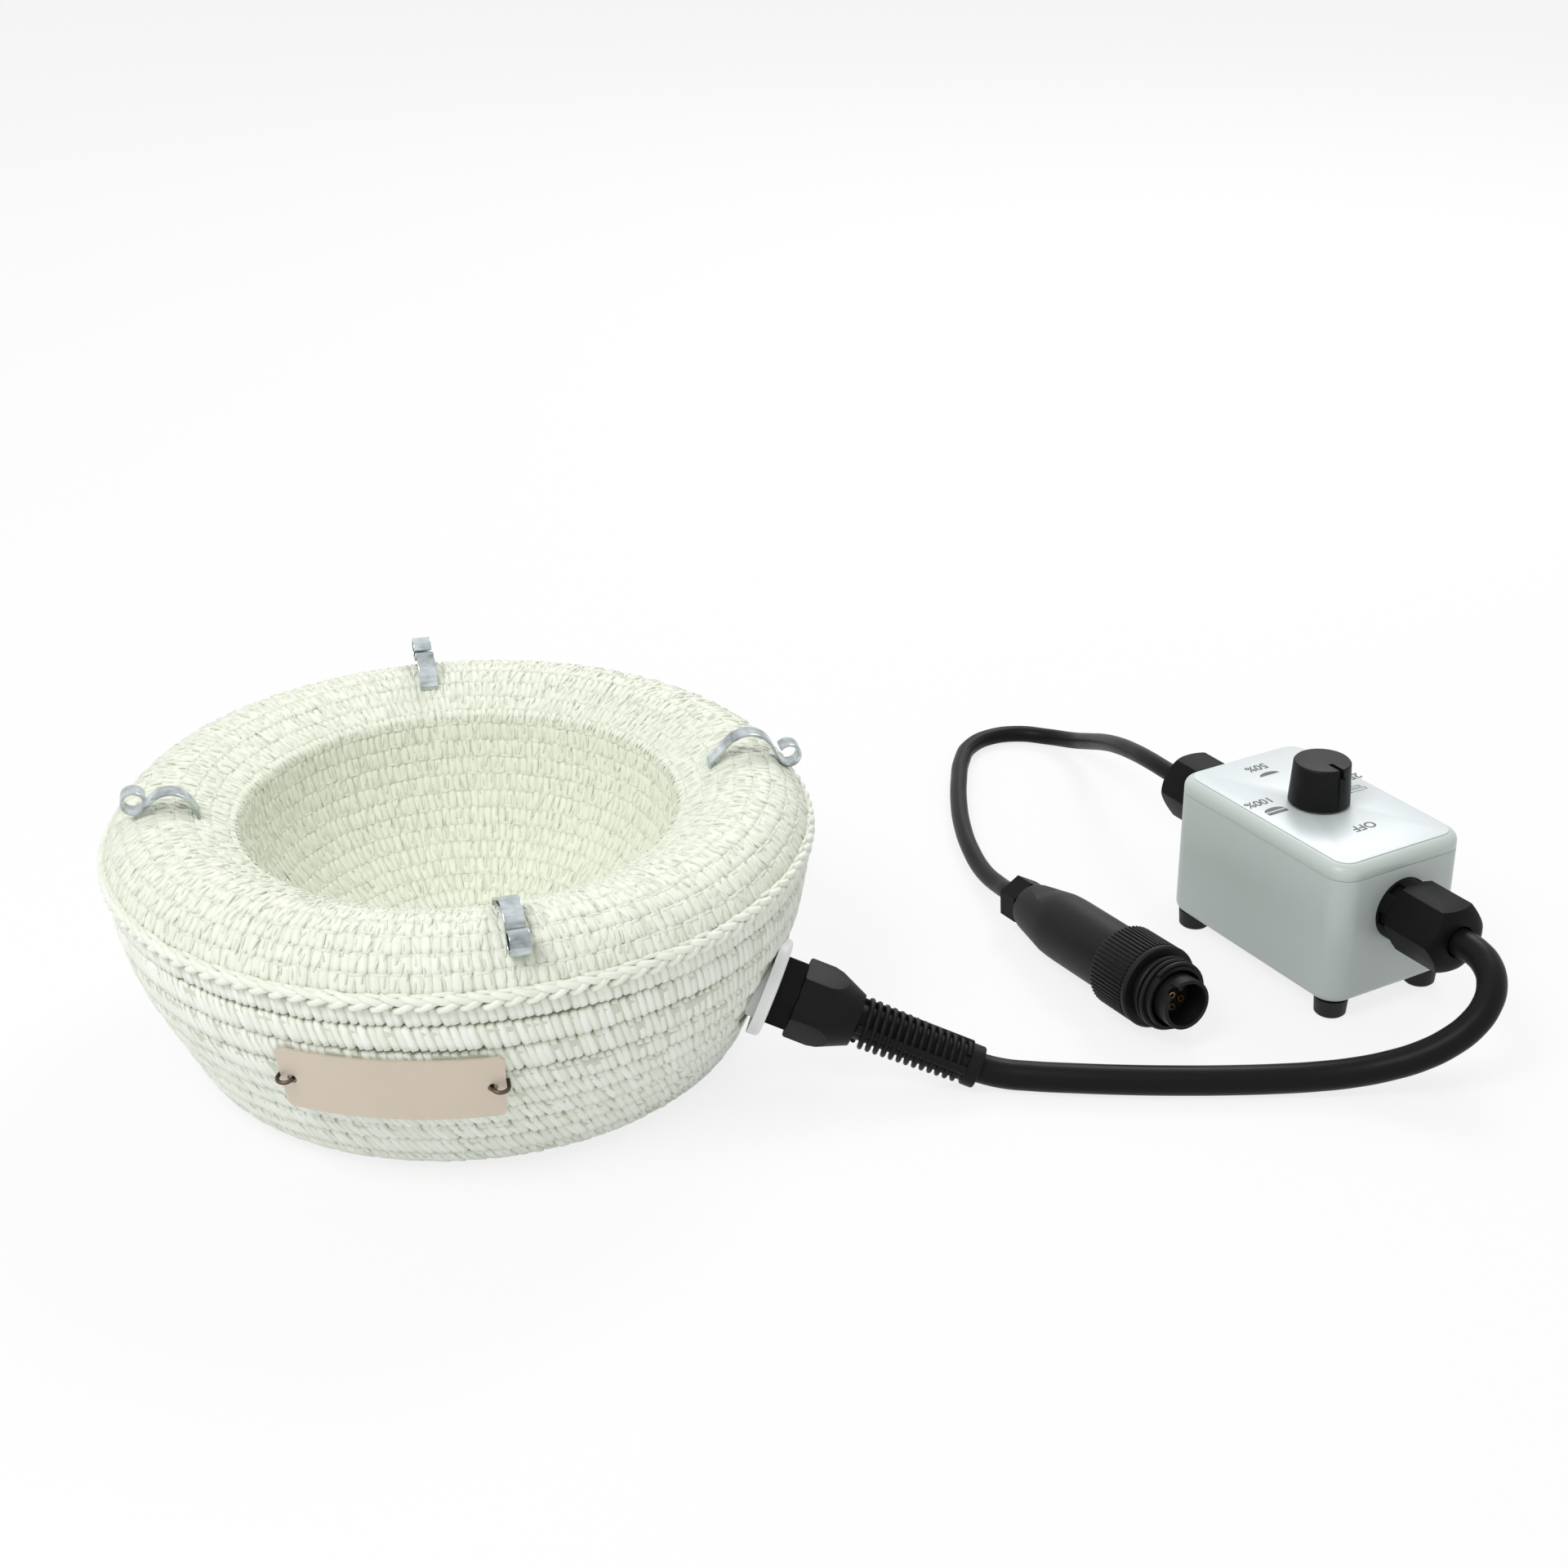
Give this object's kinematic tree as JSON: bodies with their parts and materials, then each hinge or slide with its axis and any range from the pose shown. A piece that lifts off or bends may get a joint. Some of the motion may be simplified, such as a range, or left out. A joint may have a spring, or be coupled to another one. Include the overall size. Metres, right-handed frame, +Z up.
{
  "type": "heating mantle",
  "caption": "Crocheted glass-yarn heating mantle for a round-bottom flask, with hooks, a switch box on its lead and a round control connector.",
  "frame": {"origin": "the bowl's axis on the table, at the middle of the flat bottom", "axes": "+Z up along the bowl's axis; the switch box and the leads lie on the +X side; the name plate faces -Y"},
  "size_m": [0.424, 0.3189, 0.0929],
  "materials": {
    "insert_yarn": "silky crocheted glass yarn",
    "cover_yarn": "silky crocheted glass yarn",
    "braid_yarn": "silky braid",
    "glass_wool": "matte",
    "heater_sleeve": "matte",
    "wire": "satin",
    "ceramic": "glazed ceramic",
    "zinc_steel": "bluish zinc",
    "plate_metal": "brushed",
    "tie_wire": "dark annealed",
    "white_nylon": "satin",
    "black_nylon": "fine-grained",
    "lead_rubber": "matte",
    "seal_rubber": "matte",
    "foot_rubber": "matte",
    "box_grey": "satin moulded",
    "lid_grey": "satin moulded",
    "label": "printed film",
    "knob_black": "matte",
    "switch_phenolic": "matte",
    "contact_metal": "satin"
  },
  "bodies": {
    "mantle": {"heating_insert": "insert_yarn", "outer_cover": "cover_yarn", "seam_braid": "braid_yarn", "insulation": "glass_wool", "heating_cord": "heater_sleeve", "heater_leads": "wire", "terminal_block": "ceramic", "hook_left": "zinc_steel", "hook_front": "zinc_steel", "hook_right": "zinc_steel", "hook_rear": "zinc_steel", "name_plate": "plate_metal", "plate_tie_left": "tie_wire", "plate_tie_right": "tie_wire", "gland_flange": "white_nylon", "gland_body": "black_nylon", "gland_locknut": "black_nylon", "gland_seal": "seal_rubber", "spiral_nut": "black_nylon", "power_lead_tail": "lead_rubber", "power_lead": "lead_rubber", "box_base": "box_grey", "box_lid": "lid_grey", "box_gasket": "seal_rubber", "box_screws": "zinc_steel", "box_feet": "foot_rubber", "dial_label": "label", "switch_body": "switch_phenolic", "switch_nut": "zinc_steel", "box_terminals": "ceramic", "box_wires": "wire", "front_gland_body": "black_nylon", "front_gland_locknut": "black_nylon", "front_gland_seal": "seal_rubber", "front_gland_nut": "black_nylon", "rear_gland_body": "black_nylon", "rear_gland_locknut": "black_nylon", "rear_gland_seal": "seal_rubber", "rear_gland_nut": "black_nylon", "power_lead_box_tail": "lead_rubber", "signal_lead_box_tail": "lead_rubber", "signal_lead": "lead_rubber", "connector_nut": "black_nylon", "connector_seal": "seal_rubber", "connector_body": "black_nylon", "connector_shroud": "black_nylon", "connector_insert": "black_nylon", "connector_contacts": "contact_metal"},
    "knob": {"knob": "knob_black", "switch_shaft": "zinc_steel"},
    "coupling_ring": {"coupling_ring": "black_nylon"}
  },
  "joints": [
    {"name": "knob_turn", "type": "hinge", "parent": "mantle", "child": "knob", "pos_m": [0.2715, 0.0397, 0.056], "axis": [0, 0, 1], "range_deg": [0, 270]},
    {"name": "coupling_ring_spin", "type": "hinge", "parent": "mantle", "child": "coupling_ring", "pos_m": [0.2113, -0.00122, 0.0147], "axis": [0.4682, -0.8805, 0.075], "continuous": true}
  ]
}
